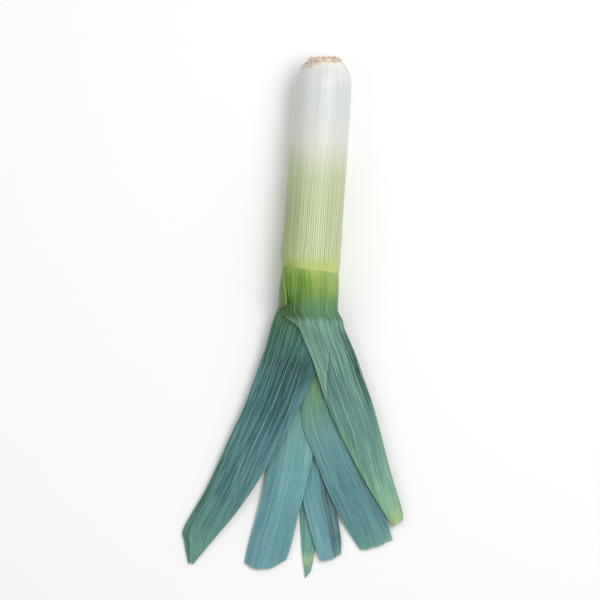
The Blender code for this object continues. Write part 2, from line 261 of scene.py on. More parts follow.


# Outer sheath: the closed foot of the outermost leaf left on, wrapped round those inside it.
# Firm moist white flesh that turns striped and green towards its mouth, torn off in a strip on the left,
# its left side darkened with painted shade.
SHAFT_PROFILE = [(163.2, 0.0), (163.2, 5.0), (163.2, 9.0), (162.7, 10.8), (162.1, 11.8), (161.4, 12.6),
                 (160.5, 13.4), (159.6, 14.1), (157.2, 15.6), (154.0, 17.1), (150.0, 17.9), (143.0, 18.3),
                 (135.0, 18.4), (118.0, 18.6), (100.0, 18.7), (80.0, 18.7), (62.0, 18.7),
                 (56.0, 18.8), (50.0, 19.0)]
NECK_PROFILE = np.array([
    (10.9, 35.6, 17.9, 1.6, 36.1),
    (10.7, 28.0, 18.2, 1.6, 35.4),
    (10.3, 20.0, 18.8, 1.7, 32.8),
    (9.9, 12.0, 19.1, 1.9, 29.6),
    (9.7, 4.0, 19.4, 2.2, 26.8),
])
SHAFT_SIDES = 480
SHAFT_ROWS = 90
SLEEVE_ROWS = 40
STRIP_ROWS = 40
LINING_ROWS = 10
LINING_TOP = 38.0
RIM_STEPS = 5
FLAT_DEPTH = 0.5
SLEEVE_START = 50.0
SLEEVE_FULL = 37.0
SLEEVE_INSIDE = 0.06
SLEEVE_OUTSIDE = 1.35
MOUTH_OUTSIDE = 0.28
MOUTH_TAPER = 9.0
MOUTH_WANDER = 0.18
MOUTH_SMOOTHNESS = 0.85
MOUTH_Y = 30.5
MOUTH_SLANT = 2.8
TORN_TIP_Y = 6.0
TORN_FROM = math.radians(130.0)
TORN_TO = math.radians(185.0)
TORN_SQUARENESS = 0.06
TORN_NARROWING = math.radians(27.0)
NARROWING_FROM = math.radians(70.0)
NARROWING_RUN = 18.0
TORN_LIFT = 0.3
TORN_LIFT_RUN = 8.0
VEIN_COUNT = 80
STRIPE_LEAN = 0.6
LEAN_FROM = 52.0
LEAN_RUN = 22.0
LIP_WIDTH = 8.0
TORN_END_WIDTH = 3.0
TORN_GREENING = 10.0
FURROW_DEPTH = 0.03
FURROWS_FROM = 112.0
FURROWS_RUN = 40.0
UNEVEN_FROM = 162.0
UNEVEN_RUN = 12.0
UNEVEN_GIRTH = 0.1
UNEVEN_LENGTH = 0.08
SHEATH_TOP = 163.2
SHEATH_LENGTH = 157.0
DRIFT_OCTAVES = 4
DRIFT_PEAK = 2.53


def smooth_step(value):
    value = np.clip(value, 0.0, 1.0)
    return value * value * (3.0 - 2.0 * value)


def smooth_rows(table, places):
    """Catmull-Rom reading of the rows of a table at places from 0 to its last row."""
    last = len(table) - 1
    index = np.minimum(places.astype(int), last - 1)
    share = (places - index)[:, None]
    before = table[np.maximum(index - 1, 0)]
    start, end = table[index], table[index + 1]
    after = table[np.minimum(index + 2, last)]
    return 0.5 * (
        2.0 * start
        + (end - before) * share
        + (2.0 * before - 5.0 * start + 4.0 * end - after) * share**2
        + (3.0 * start - before - 3.0 * end + after) * share**3
    )


def neck_sizes(y):
    """The neck's centre, half width, underside and top at each distance along Y."""
    fine = smooth_rows(NECK_PROFILE, np.linspace(0.0, len(NECK_PROFILE) - 1.0, 200))[::-1]
    return [np.interp(y, fine[:, 1], fine[:, column]) for column in (0, 2, 3, 4)]


def neck_points(y, turns, outset):
    centre, half_width, low, high = neck_sizes(y)
    x = centre + (half_width + outset) * np.cos(turns)
    z = (low + high) / 2.0 + ((high - low) / 2.0 + outset) * np.sin(turns)
    return np.stack([x, y, z], axis=-1)


def drift(values, period, seed):
    """A smooth wandering number from -1 to 1 along values, the same for the same seed."""
    rng = random.Random(seed)
    total = np.zeros_like(values, dtype=float)
    for octave in range(DRIFT_OCTAVES):
        pitch = period / (1.7**octave)
        total += np.sin(values * math.tau / pitch + rng.uniform(0.0, math.tau)) * 0.7**octave
    return total / DRIFT_PEAK


def mouth_line(turns):
    return MOUTH_Y - MOUTH_SLANT * np.cos(turns) + MOUTH_WANDER * drift(turns, 0.7, "mouth")


def mouth_edge(turns):
    """How far the sheath reaches: a slanted mouth, and the ragged torn strip on the left."""
    edge = mouth_line(turns)
    share = np.clip((turns - TORN_FROM) / (TORN_TO - TORN_FROM), 0.0, 1.0)
    strip = np.sin(math.pi * share) ** TORN_SQUARENESS
    tip = TORN_TIP_Y - 0.2 + 0.7 * drift(turns, 0.23, "torn tip")
    return edge + (tip - edge) * strip


def sleeve_lean(y, turns):
    """How far round and out the mouth is moved, so that the torn strip beside it widens to its end."""
    before = (turns - NARROWING_FROM) / (TORN_FROM - NARROWING_FROM)
    after = (TORN_TO - turns) / (TORN_TO - TORN_FROM)
    beside_tear = np.clip(np.minimum(before, after), 0.0, 1.0)
    height = np.clip((y - TORN_TIP_Y) / (MOUTH_Y - TORN_TIP_Y), 0.0, 1.0)
    above_mouth = smooth_step((y - MOUTH_Y - 1.0) / NARROWING_RUN)
    turned = turns + TORN_NARROWING * beside_tear * height * (1.0 - above_mouth)
    lift = TORN_LIFT * beside_tear * smooth_step((MOUTH_Y + 2.0 - y) / TORN_LIFT_RUN)
    return turned, lift


def sheath_ripple(y, turns):
    """Small waves of the sheath: shallow furrows between its veins, and an uneven girth."""
    furrows = FURROW_DEPTH * np.cos(VEIN_COUNT * turns) * smooth_step((FURROWS_FROM - y) / FURROWS_RUN)
    uneven = UNEVEN_GIRTH * (drift(turns, 1.9, "girth") - 1.0) + UNEVEN_LENGTH * np.sin(y / 17.0)
    return smooth_step((UNEVEN_FROM - y) / UNEVEN_RUN) * (furrows + uneven)


def shaft_rings():
    """Rings of points from the root end, out over the mouth's edge and back in along its inner face."""
    turns = np.linspace(-math.pi / 2.0, 1.5 * math.pi, SHAFT_SIDES + 1)
    line = mouth_line(turns)
    edge = mouth_edge(turns)
    profile = np.array(SHAFT_PROFILE)
    rings = []
    angles = []
    for y, radius in smooth_rows(profile, np.linspace(0.0, len(profile) - 1.0, SHAFT_ROWS)):
        rings.append(round_points(y, turns, radius + sheath_ripple(y, turns)))
        angles.append(turns)
    places = []
    for step in range(1, SLEEVE_ROWS + 1):
        places.append(SLEEVE_START + (line - SLEEVE_START) * step / SLEEVE_ROWS)
    for step in range(1, STRIP_ROWS + 1):
        places.append(line + (edge - line) * step / STRIP_ROWS)
    for y in places:
        thin = smooth_step((line + MOUTH_TAPER - y) / MOUTH_TAPER)
        turned, lift = sleeve_lean(y, turns)
        ripple = sheath_ripple(y, turned) * (1.0 - MOUTH_SMOOTHNESS * thin)
        outset = SLEEVE_OUTSIDE + (MOUTH_OUTSIDE - SLEEVE_OUTSIDE) * thin + ripple + lift
        round_part = round_points(y, turned, SHAFT_PROFILE[-1][1] + ripple)
        share = smooth_step((SLEEVE_START - y) / (SLEEVE_START - SLEEVE_FULL))[:, None]
        rings.append(round_part * (1.0 - share) + neck_points(y, turned, outset) * share)
        angles.append(turned)
    wall = MOUTH_OUTSIDE - SLEEVE_INSIDE
    inner = []
    for turn in np.arange(1, RIM_STEPS + 1) * math.pi / RIM_STEPS:
        inner.append((edge - 0.5 * wall * math.sin(turn), 0.5 + 0.5 * math.cos(turn)))
    for step in range(1, STRIP_ROWS + 1):
        inner.append((edge + (line - edge) * step / STRIP_ROWS, 0.0))
    for step in range(1, LINING_ROWS + 1):
        inner.append((line + (LINING_TOP - line) * step / LINING_ROWS, 0.0))
    for y, share in inner:
        turned, lift = sleeve_lean(y, turns)
        rings.append(neck_points(y, turned, SLEEVE_INSIDE + wall * share + lift))
        angles.append(turned)
    middle = rings[-1].mean(axis=0)
    rings.append(middle + (rings[-1] - middle) * 0.5)
    rings.append(np.repeat(middle[None, :], len(turns), axis=0))
    angles += [turns, turns]
    points = np.array(rings)
    points[..., 2] = np.where(points[..., 2] < FLAT_DEPTH, 0.0, points[..., 2])
    return points, turns, np.array(angles)


def vein_lines(tree, phase, wander, low, high):
    """Even lines along a leaf, from the phase that runs across it, made to wander a little."""
    shifted = add(tree, "ShaderNodeMath", {0: wander, 1: 3.2}, operation="MULTIPLY_ADD")
    tree.links.new(phase, shifted.inputs[2])
    wave = add(tree, "ShaderNodeMath", {0: shifted.outputs["Value"]}, operation="SINE").outputs["Value"]
    half = add(tree, "ShaderNodeMath", {0: wave, 1: 0.5}, operation="MULTIPLY_ADD")
    half.inputs[2].default_value = 0.5
    return ramp(tree, half.outputs["Value"], [(low, 0.0), (high, 1.0)])


def sheath_material():
    material, tree, shader = new_material("sheath_flesh")
    along = attribute(tree, "along")
    left = attribute(tree, "left")
    strip = attribute(tree, "strip")
    round_place = add(tree, "ShaderNodeCombineXYZ", {
        "X": attribute(tree, "facing_x"), "Y": attribute(tree, "facing_z"), "Z": along}).outputs["Vector"]
    tone = ramp(tree, along, [
        (0.0, paint(246, 240, 226)), (0.03, paint(234, 233, 228)), (0.12, paint(214, 219, 220)),
        (0.32, paint(217, 220, 210)), (0.42, paint(205, 212, 184)), (0.48, paint(196, 207, 164)),
        (0.7, paint(198, 210, 164)), (0.8, paint(196, 209, 150)), (0.845, paint(192, 207, 122)),
        (0.87, paint(176, 196, 104)), (1.0, paint(140, 160, 96))])
    # The darker green of the veins, also used as painted shade that greys and greens the left side, which
    # faces away from the key lamp.
    vein_green_and_side_shade = ramp(tree, along, [
        (0.0, paint(206, 204, 200)), (0.3, paint(196, 199, 184)), (0.42, paint(166, 180, 130)),
        (0.6, paint(128, 149, 86)), (0.78, paint(130, 151, 80)), (0.83, paint(132, 162, 62)),
        (1.0, paint(110, 138, 70))])
    # Painted shade on the left side of the shaft.
    left_side_painted_shade = ramp(tree, left, [(0.0, 0.0), (0.3, 0.05), (0.62, 0.42), (0.95, 0.9)])
    tone = mix(tree, left_side_painted_shade, tone, vein_green_and_side_shade)
    reach = ramp(tree, along, [(0.1, 0.0), (0.34, 0.15), (0.48, 0.8), (0.8, 0.85), (0.86, 0.4)])
    wander = speckle(tree, round_place, (9.0, 9.0, 5.0), 2.0, 4.0)
    between = vein_lines(tree, attribute(tree, "vein"), wander, 0.35, 0.8)
    patchy = ramp(tree, speckle(tree, round_place, (14.0, 14.0, 3.0), 2.5), [(0.3, 0.35), (0.62, 1.0)])
    share = mix(tree, 1.0, mix(tree, 1.0, between, reach, "MULTIPLY"), patchy, "MULTIPLY")
    tone = mix(tree, share, tone, vein_green_and_side_shade)
    pale = ramp(tree, speckle(tree, round_place, (40.0, 40.0, 1.5), 2.0, 3.0), [(0.5, 0.0), (0.7, 0.35)])
    tone = mix(tree, pale, tone, paint(238, 241, 222))
    cool = ramp(tree, speckle(tree, round_place, (9.0, 9.0, 1.6), 3.0, 8.0), [(0.45, 0.0), (0.62, 0.42)])
    cool_reach = ramp(tree, along, [(0.01, 0.1), (0.05, 1.0), (0.26, 0.5), (0.44, 0.0)])
    tone = mix(tree, mix(tree, 1.0, cool, cool_reach, "MULTIPLY"), tone, paint(198, 203, 209))
    papery = mix(tree, 1.0, ramp(tree, left, [(0.93, 0.0), (1.0, 0.6)]),
                 ramp(tree, along, [(0.0, 1.0), (0.3, 1.0), (0.4, 0.0)]), "MULTIPLY")
    tone = mix(tree, papery, tone, paint(238, 214, 190))
    shoulder = mix(tree, 1.0, ramp(tree, attribute(tree, "facing_x"), [(0.86, 0.0), (0.96, 0.8)]),
                   ramp(tree, along, [(0.0, 1.0), (0.035, 1.0), (0.06, 0.0)]), "MULTIPLY")
    tone = mix(tree, shoulder, tone, paint(214, 192, 164))
    lip_side = ramp(tree, left, [(0.1, 0.0), (0.75, 1.0)])
    lip_tone = mix(tree, lip_side, paint(190, 206, 118), paint(134, 166, 66))
    lip = ramp(tree, attribute(tree, "lip"), [(0.1, 0.0), (0.6, 0.5), (0.95, 0.85)])
    tone = mix(tree, lip, tone, lip_tone)
    torn = ramp(tree, speckle(tree, round_place, (60.0, 60.0, 4.0), 2.0), [
        (0.35, paint(68, 102, 30)), (0.65, paint(106, 134, 64))])
    tone = mix(tree, strip, tone, torn)
    brown = ramp(tree, attribute(tree, "edge"), [(0.0, 0.0), (0.62, 0.0), (0.9, 0.9)])
    tone = mix(tree, brown, tone, paint(92, 72, 36))
    tree.links.new(tone, shader.inputs["Base Color"])
    gloss = ramp(tree, speckle(tree, round_place, (18.0, 18.0, 2.0), 3.0, 5.0), [(0.3, 0.3), (0.7, 0.46)])
    tree.links.new(gloss, shader.inputs["Roughness"])
    shader.inputs["Subsurface Weight"].default_value = 0.12
    shader.inputs["Subsurface Radius"].default_value = (1.0, 1.0, 0.6)
    shader.inputs["Subsurface Scale"].default_value = 0.002
    bump(tree, shader, between, 0.2, 0.0002)
    return material


def outer_sheath():
    points, turns, angles = shaft_rings()
    left = np.clip(-np.cos(angles), 0.0, 1.0)
    lean = STRIPE_LEAN * left**3 * smooth_step((LEAN_FROM - points[..., 1]) / LEAN_RUN)
    shape = bmesh.new()
    strip = np.clip((turns - TORN_FROM) / (TORN_TO - TORN_FROM), 0.0, 1.0)
    on_strip = smooth_step(np.sin(math.pi * strip) * 2.0) * (strip > 0.0)
    below_mouth = smooth_step((MOUTH_Y + 4.0 - points[..., 1]) / TORN_GREENING)
    torn_end = 1.0 - (points[..., 1] - mouth_edge(turns)[None, :]) / TORN_END_WIDTH
    lip = 1.0 - (points[..., 1] - mouth_line(turns)[None, :]) / LIP_WIDTH
    layers = {
        "along": (SHEATH_TOP - points[..., 1]) / SHEATH_LENGTH,
        "facing_x": np.cos(angles + lean),
        "facing_z": np.sin(angles + lean),
        "left": left,
        "strip": on_strip[None, :] * below_mouth,
        "edge": np.clip(torn_end, 0.0, 1.0) * on_strip[None, :],
        "lip": np.clip(lip, 0.0, 1.0),
        "vein": VEIN_COUNT * (angles + lean),
    }
    for name in layers:
        shape.verts.layers.float.new(name)
    add_grid(shape, points, layers)
    new_piece("white_shaft", shape, sheath_material(), "outer_sheath")


outer_sheath()


# Right outer leaf: its closed sheath is the bright green neck, and its folded blade turns off to the right.
# Thick waxy leaf with close parallel veins, yellow-green in the neck and blue-green along the blade.
LEAF_COLUMNS = 112
LEAF_ROWS = 176
MARGIN_CROWDING = 0.35
CUT_LIP = 0.15
NECK_BLEND_RIBS = 3.0
BASE_THICKNESS = 1.15
TIP_THICKNESS = 0.95
KEEL_REACH = 0.3
KEEL_SOFTNESS = 0.0016
SWAY = 0.3
PLEATS = 10.0
PLEAT_DEPTH = 0.07
RIDGES = 17.0
RIDGE_DEPTH = 0.022
DENT_DEPTH = 0.12
MARGIN_WAVE = 0.3
MARGIN_NARROWNESS = 6
EDGE_SQUARENESS = 10
CUT_REACH = 0.045
CUT_NICKS = 11
CUT_SEED = 11
NECK_STATIONS = [(35.0, 0.0), (28.0, 0.0), (20.0, 0.0), (12.0, 0.3), (4.0, 0.5)]
VEIN_SPACING = 1.45
GLOSS_SHARE = (0.92, 1.02, 1.04)
GLOSS_ADDED = 0.014
DARKEST = 0.004
NECK_END = 11.0
RIGHT_OUTER_BLADE = [
    ((-4.5, -0.5, 19.6), (31.5, -2.0, 12.6), 8.6),
    ((3.0, -6.5, 22.8), (32.8, -7.5, 11.2), 6.6),
    ((8.0, -18.0, 20.0), (36.4, -16.0, 9.0), 4.5),
    ((13.0, -30.0, 17.5), (40.2, -25.0, 8.0), 3.5),
    ((20.6, -53.0, 13.6), (46.4, -43.0, 6.8), 3.0),
    ((29.6, -74.0, 11.0), (52.8, -62.5, 6.2), 2.5),
    ((45.6, -105.0, 8.2), (62.2, -98.5, 5.5), 1.6),
    ((59.0, -127.0, 5.5), (69.0, -121.5, 4.5), 0.8),
    ((63.5, -134.0, 4.6), (70.4, -129.5, 4.2), 0.4),
]


def neck_rib(y, inset):
    left, right, top = (neck_points(np.array(y), turn, -inset) for turn in (math.pi, 0.0, math.pi / 2.0))
    return (tuple(left), tuple(right), float(top[2] - left[2]))


def leaf_surface(name, ribs, keel, cut_bow, neck_ribs=0, grain_from=0.0):
    """The leaf's middle surface through its ribs, as a grid of points, and where each point lies on it.

    Each rib is a left point, a right point and how high it arches. The keel is where the leaf's fold
    lies across it at its foot and at its end, and how high the fold is. The cut end bulges by cut_bow,
    and the veins run alongside the line grain_from, from -1 at the left margin to 1 at the right.
    """
    keel_foot, keel_end, keel_height = keel
    table = np.array([(*left, *right, bow) for left, right, bow in ribs])
    along = np.append(np.linspace(0.0, 1.0, LEAF_ROWS), 1.0)
    along[-2] = 1.0 - CUT_LIP / LEAF_ROWS
    place = along * (len(ribs) - 1)
    rows = smooth_rows(table, place)
    even = np.linspace(-1.0, 1.0, LEAF_COLUMNS + 1)[None, :]
    across = np.sin(even * math.pi / 2.0) * MARGIN_CROWDING + even * (1.0 - MARGIN_CROWDING)
    blade = np.clip((place - neck_ribs) / NECK_BLEND_RIBS, 0.0, 1.0)[:, None]
    spread = np.sin(across * math.pi / 2.0) * (1.0 - blade) + across * blade
    arch = np.maximum(0.0, 1.0 - spread**2) ** (0.5 + 0.5 * blade)
    left, right, bow = rows[:, None, 0:3], rows[:, None, 3:6], rows[:, 6:7]
    points = left + (right - left) * ((spread + 1.0) / 2.0)[..., None]
    middle = (rows[:, 0:3] + rows[:, 3:6]) / 2.0
    run = np.concatenate([[0.0], np.cumsum(np.linalg.norm(np.diff(middle, axis=0), axis=1))])[:, None]
    half_width = np.linalg.norm(rows[:, 3:5] - rows[:, 0:2], axis=1, keepdims=True) / 2.0
    off_keel = across - keel_foot - (keel_end - keel_foot) * along[:, None]
    keel_line = keel_height * np.maximum(0.0, 1.0 - np.sqrt(off_keel**2 + KEEL_SOFTNESS) / KEEL_REACH)
    sway = SWAY * drift(run, 90.0, name)
    pleats = PLEAT_DEPTH * np.cos(math.pi * PLEATS * (across + 1.0) / 2.0 + sway)
    ridge_phase = math.tau * RIDGES * (across + 1.0) / 2.0 + 2.0 * sway + 3.0 * across**2
    ridges = RIDGE_DEPTH * np.cos(ridge_phase)
    dents = DENT_DEPTH * drift(run + 9.0 * across, 37.0, name + " dents") * drift(across * 10.0, 13.0, name)
    margin = np.abs(across) ** MARGIN_NARROWNESS
    waves = MARGIN_WAVE * margin * drift(run + 40.0 * np.sign(across), 23.0, name + " margin")
    points[..., 2] += bow * arch + blade * (keel_line + pleats + ridges + dents + waves)
    forward = unit(middle[-1] - middle[-8])
    rng = random.Random(f"{CUT_SEED} {name}")
    nicks = [rng.uniform(-0.5, 0.5) for _ in range(CUT_NICKS)]
    rag = np.interp(across, np.linspace(-1.0, 1.0, CUT_NICKS), nicks)
    rag = rag + 0.12 * drift(across * 10.0, 1.3, name)
    end = smooth_step((along[:, None] - 1.0 + CUT_REACH) / CUT_REACH)
    reach = end * (cut_bow * (1.0 - across**2) + rag)
    points[..., 0] += forward[0] * reach
    points[..., 1] += forward[1] * reach
    whole = np.ones(points.shape[:2])
    return points, {
        "across": across * whole,
        "along": along[:, None] * whole,
        "blade": blade * whole,
        "grain_x": (spread - grain_from) * half_width,
        "grain_y": run * whole,
        "fold": 0.5 + 0.5 * off_keel,
    }


def skin_leaf(name, node, points, layers, material, neck_rows=None):
    """Rolls one grid round the leaf, its upper face going across and its underside coming back."""
    across, along, blade = layers["across"], layers["along"], layers["blade"][..., None]
    slope_across = np.gradient(points, axis=1)
    slope_along = np.gradient(points, axis=0)
    slope_along[-1] = slope_along[-3]
    slope_along[-2] = slope_along[-3]
    normals = unit(np.cross(slope_along, slope_across))
    normals = normals * np.sign(normals[..., 2:3] + 1e-12)
    thickness = BASE_THICKNESS + (TIP_THICKNESS - BASE_THICKNESS) * along
    half = thickness / 2.0 * np.sqrt(np.maximum(0.0, 1.0 - np.abs(across) ** EDGE_SQUARENESS))
    lift = half[..., None] * normals
    top, bottom = points + lift, points - lift
    if neck_rows is not None:
        top = points + lift * blade
        closed = neck_rows >= NECK_END
        low = neck_sizes(neck_rows)[2][:, None]
        side = points[:, 0:1, 2]
        spread = np.sin(across * math.pi / 2.0)
        under = points.copy()
        under[..., 2] = side - (side - low) * np.sqrt(np.maximum(0.0, 1.0 - spread**2))
        bottom = np.where(closed[:, None, None], under, top - 2.0 * lift)
    for row in (0, -1):
        middle = (top[row] + bottom[row]) / 2.0
        top[row] = middle
        bottom[row] = middle
    shape = bmesh.new()
    doubled = {}
    for layer, values in layers.items():
        shape.verts.layers.float.new(layer)
        doubled[layer] = np.concatenate([values, values[:, ::-1]], axis=1)
    add_grid(shape, np.concatenate([top, bottom[:, ::-1]], axis=1), doubled)
    new_piece(name, shape, material, node)


def leaf_tone(red, green, blue):
    """A leaf colour as it is seen, less what its gloss adds under the lamps."""
    seen = paint(red, green, blue)[:3]
    less_gloss = [max(DARKEST, share * value - GLOSS_ADDED) for share, value in zip(GLOSS_SHARE, seen)]
    return (*less_gloss, 1.0)


PALE_STREAKS = [(0.0, leaf_tone(158, 196, 176)), (1.0, leaf_tone(158, 196, 176))]
FAINT = [(0.0, 0.42), (1.0, 0.42)]


def leaf_material(name, body, bands, seed=0.0, marks=(), streaks=PALE_STREAKS, strength=FAINT):
    """Waxy leaf: body is its colours along it, and each band is where across, where along, and a colour.

    Each mark is an attribute, the places on it where the mark shows, and its colour. Streaks are the
    colours of its veins along it, and strength is how clearly they show.
    """
    material, tree, shader = new_material(name)
    place = object_place(tree)
    grain = add(tree, "ShaderNodeCombineXYZ", {
        "X": attribute(tree, "grain_x"), "Y": attribute(tree, "grain_y"), "Z": seed}).outputs["Vector"]
    along = attribute(tree, "along")
    shifted = add(tree, "ShaderNodeMath", {0: attribute(tree, "across"), 1: 0.5}, operation="MULTIPLY_ADD")
    shifted.inputs[2].default_value = 0.5
    lane = shifted.outputs["Value"]
    uneven = speckle(tree, grain, (0.4, 0.06, 1.0), 3.0, seed + 7.0)
    drifting = add(tree, "ShaderNodeMath", {0: uneven, 1: 0.12}, operation="MULTIPLY_ADD")
    tree.links.new(along, drifting.inputs[2])
    unsettled = add(tree, "ShaderNodeMath", {0: drifting.outputs["Value"], 1: 0.06}, operation="SUBTRACT")
    tone = ramp(tree, unsettled.outputs["Value"], body)
    for across_stops, along_stops, colour in bands:
        share = mix(tree, 1.0, ramp(tree, lane, across_stops), ramp(tree, along, along_stops), "MULTIPLY")
        tone = mix(tree, share, tone, colour)
    for mark, stops, colour in marks:
        tone = mix(tree, ramp(tree, attribute(tree, mark), stops), tone, colour)
    patches = speckle(tree, place, (46.0, 24.0, 40.0), 3.0, seed + 2.0)
    bloom_reach = ramp(tree, along, [(0.3, 0.0), (0.5, 0.3)])
    bloom_share = mix(tree, 1.0, ramp(tree, patches, [(0.42, 0.0), (0.75, 1.0)]), bloom_reach, "MULTIPLY")
    tone = mix(tree, bloom_share, tone, leaf_tone(126, 168, 176))
    streak = ramp(tree, along, streaks)
    wander = speckle(tree, grain, (0.5, 0.05, 1.0), 2.0, seed + 4.0)
    turns = add(tree, "ShaderNodeMath", {0: attribute(tree, "grain_x"), 1: math.tau / VEIN_SPACING},
                operation="MULTIPLY").outputs["Value"]
    dashes = ramp(tree, speckle(tree, grain, (0.9, 0.1, 1.0), 2.0, seed + 5.0), [(0.38, 0.1), (0.62, 0.8)])
    ridges = vein_lines(tree, turns, wander, 0.45, 0.95)
    grooves = vein_lines(tree, turns, wander, 0.6, 0.1)
    clear = ramp(tree, along, strength)
    lit = mix(tree, 1.0, mix(tree, 1.0, ridges, dashes, "MULTIPLY"), clear, "MULTIPLY")
    tone = mix(tree, lit, tone, streak)
    dim = mix(tree, 1.0, grooves, clear, "MULTIPLY")
    tone = mix(tree, dim, tone, mix(tree, 0.6, tone, (0.3, 0.42, 0.42, 1.0), "MULTIPLY"))
    threads = speckle(tree, grain, (2.6, 0.03, 1.0), 2.0, seed + 9.0)
    bright = mix(tree, 1.0, ramp(tree, threads, [(0.52, 0.0), (0.64, 1.0)]), clear, "MULTIPLY")
    tone = mix(tree, bright, tone, streak)
    tone = mix(tree, clear, tone, ramp(tree, threads, [(0.32, 0.5), (0.46, 1.0)]), "MULTIPLY")
    wide = speckle(tree, grain, (0.3, 0.012, 1.0), 3.0, seed + 1.0)
    tone = mix(tree, 0.5, tone, ramp(tree, wide, [(0.3, 0.74), (0.56, 1.0)]), "MULTIPLY")
    rim = ramp(tree, lane, [(0.0, 0.7), (0.01, 0.45), (0.024, 0.0), (0.976, 0.0), (0.99, 0.45), (1.0, 0.7)])
    tone = mix(tree, rim, tone, streak)
    tone = mix(tree, ramp(tree, along, [(0.99, 0.0), (0.998, 0.55)]), tone, leaf_tone(178, 200, 150))
    tree.links.new(tone, shader.inputs["Base Color"])
    gloss = ramp(tree, patches, [(0.35, 0.42), (0.7, 0.6)])
    tree.links.new(gloss, shader.inputs["Roughness"])
    shader.inputs["Specular IOR Level"].default_value = 0.3
    bump(tree, shader, ridges, 0.25, 0.0002)
    return material


# The crease that the blade's left margin is folded over at: places along Y, and X there.
CREASE_PLACES = [(-55.0, 21.6), (-50.0, 21.2), (-44.0, 20.8), (-36.0, 21.0), (-31.0, 21.9),
                 (-20.0, 22.4), (-12.0, 22.8)]
FLAP_HEIGHT = 0.7
FLAP_ENDS = (-58.0, -14.0)
FLAP_FADE = 12.0
FLAP_EDGE = 0.5
HOLLOW_WIDTH = 1.6
CREST_WIDTH = 0.4
CREST_INSET = 0.3


def fold_flap(points):
    """Lays the left margin over the blade as a low flap; returns where the flap, the dip beside it (which
    also takes a painted shadow) and the crest show.
    """
    x, y = points[..., 0], points[..., 1]
    crease_y, crease_x = np.array(CREASE_PLACES).T
    beyond = x - np.interp(y, crease_y, crease_x)
    run = smooth_step((FLAP_ENDS[1] - y) / FLAP_FADE) * smooth_step((y - FLAP_ENDS[0]) / FLAP_FADE)
    flap = smooth_step(0.5 - beyond / FLAP_EDGE) * run
    hollow_and_shadow = np.exp(-((np.maximum(beyond, 0.0) / HOLLOW_WIDTH) ** 2)) * (beyond > 0.0) * run
    crest = np.exp(-(((beyond + CREST_INSET) / CREST_WIDTH) ** 2)) * run
    points[..., 2] += FLAP_HEIGHT * (flap * 0.6 - 0.7 * hollow_and_shadow)
    return flap, hollow_and_shadow, crest


def right_outer_leaf():
    ribs = [neck_rib(y, inset) for y, inset in NECK_STATIONS] + RIGHT_OUTER_BLADE
    points, layers = leaf_surface("right_outer_leaf", ribs, (-0.4, -0.4, 0.7), 0.8, 2.0, 1.0)
    layers["flap"], layers["hollow_and_shadow"], layers["crest"] = fold_flap(points)
    body = [
        (0.0, leaf_tone(188, 205, 114)), (0.055, leaf_tone(184, 202, 108)), (0.1, leaf_tone(160, 184, 86)),
        (0.2, leaf_tone(124, 162, 82)), (0.256, leaf_tone(108, 150, 94)), (0.31, leaf_tone(96, 138, 96)),
        (0.36, leaf_tone(82, 120, 86)), (0.41, leaf_tone(102, 140, 114)), (0.47, leaf_tone(120, 155, 135)),
        (0.56, leaf_tone(108, 143, 129)), (0.64, leaf_tone(86, 122, 114)), (0.74, leaf_tone(88, 126, 124)),
        (0.82, leaf_tone(104, 148, 136)), (0.88, leaf_tone(138, 180, 140)),
        (0.93, leaf_tone(188, 212, 142)), (1.0, leaf_tone(206, 222, 140))]
    bands = [
        ([(0.0, 1.0), (0.4, 0.8), (0.54, 0.0)], [(0.04, 0.6), (0.12, 0.9), (0.2, 1.0), (0.3, 0.0)],
         leaf_tone(86, 132, 24)),
        ([(0.0, 1.0), (0.34, 0.75), (0.48, 0.0)], [(0.18, 0.0), (0.25, 1.0), (0.36, 0.9), (0.41, 0.0)],
         leaf_tone(60, 86, 28)),
        ([(0.55, 0.0), (0.8, 0.9)], [(0.16, 1.0), (0.24, 0.0)], leaf_tone(168, 184, 112)),
        ([(0.52, 0.0), (0.59, 0.5), (0.64, 0.0)], [(0.05, 1.0), (0.2, 0.7), (0.26, 0.0)],
         leaf_tone(186, 184, 104)),
        ([(0.0, 0.7), (0.1, 0.55), (0.24, 0.0)], [(0.7, 0.0), (0.8, 0.7), (0.97, 0.9)],
         leaf_tone(130, 168, 100)),
        # Painted shade: the right margin darkens where it turns down away from the light.
        ([(0.74, 0.0), (0.88, 1.0)], [(0.42, 0.0), (0.5, 1.0), (0.68, 1.0), (0.76, 0.0)],
         leaf_tone(38, 76, 54)),
        ([(0.8, 0.0), (0.95, 0.8)], [(0.74, 0.0), (0.84, 0.9)], leaf_tone(146, 180, 128)),
    ]
    marks = [
        ("flap", [(0.0, 0.0), (1.0, 0.6)], leaf_tone(132, 162, 140)),
        # Painted shadow cast by the folded flap into the dip beside it.
        ("hollow_and_shadow", [(0.0, 0.0), (1.0, 0.85)], leaf_tone(66, 104, 104)),
        ("crest", [(0.1, 0.0), (1.0, 0.9)], leaf_tone(152, 188, 172)),
    ]
    strength = [(0.0, 0.4), (0.34, 0.5), (0.42, 0.8), (0.6, 0.7), (0.75, 0.55), (1.0, 0.5)]
    streaks = [
        (0.0, leaf_tone(206, 216, 130)), (0.2, leaf_tone(170, 196, 116)), (0.34, leaf_tone(140, 176, 132)),
        (0.42, leaf_tone(160, 198, 170)), (1.0, leaf_tone(164, 204, 172))]
    material = leaf_material("right_outer_skin", body, bands, 0.0, marks, streaks, strength)
    neck_rows = points[:, 0, 1]
    skin_leaf("right_outer_blade", "right_outer_leaf", points, layers, material, neck_rows)


right_outer_leaf()
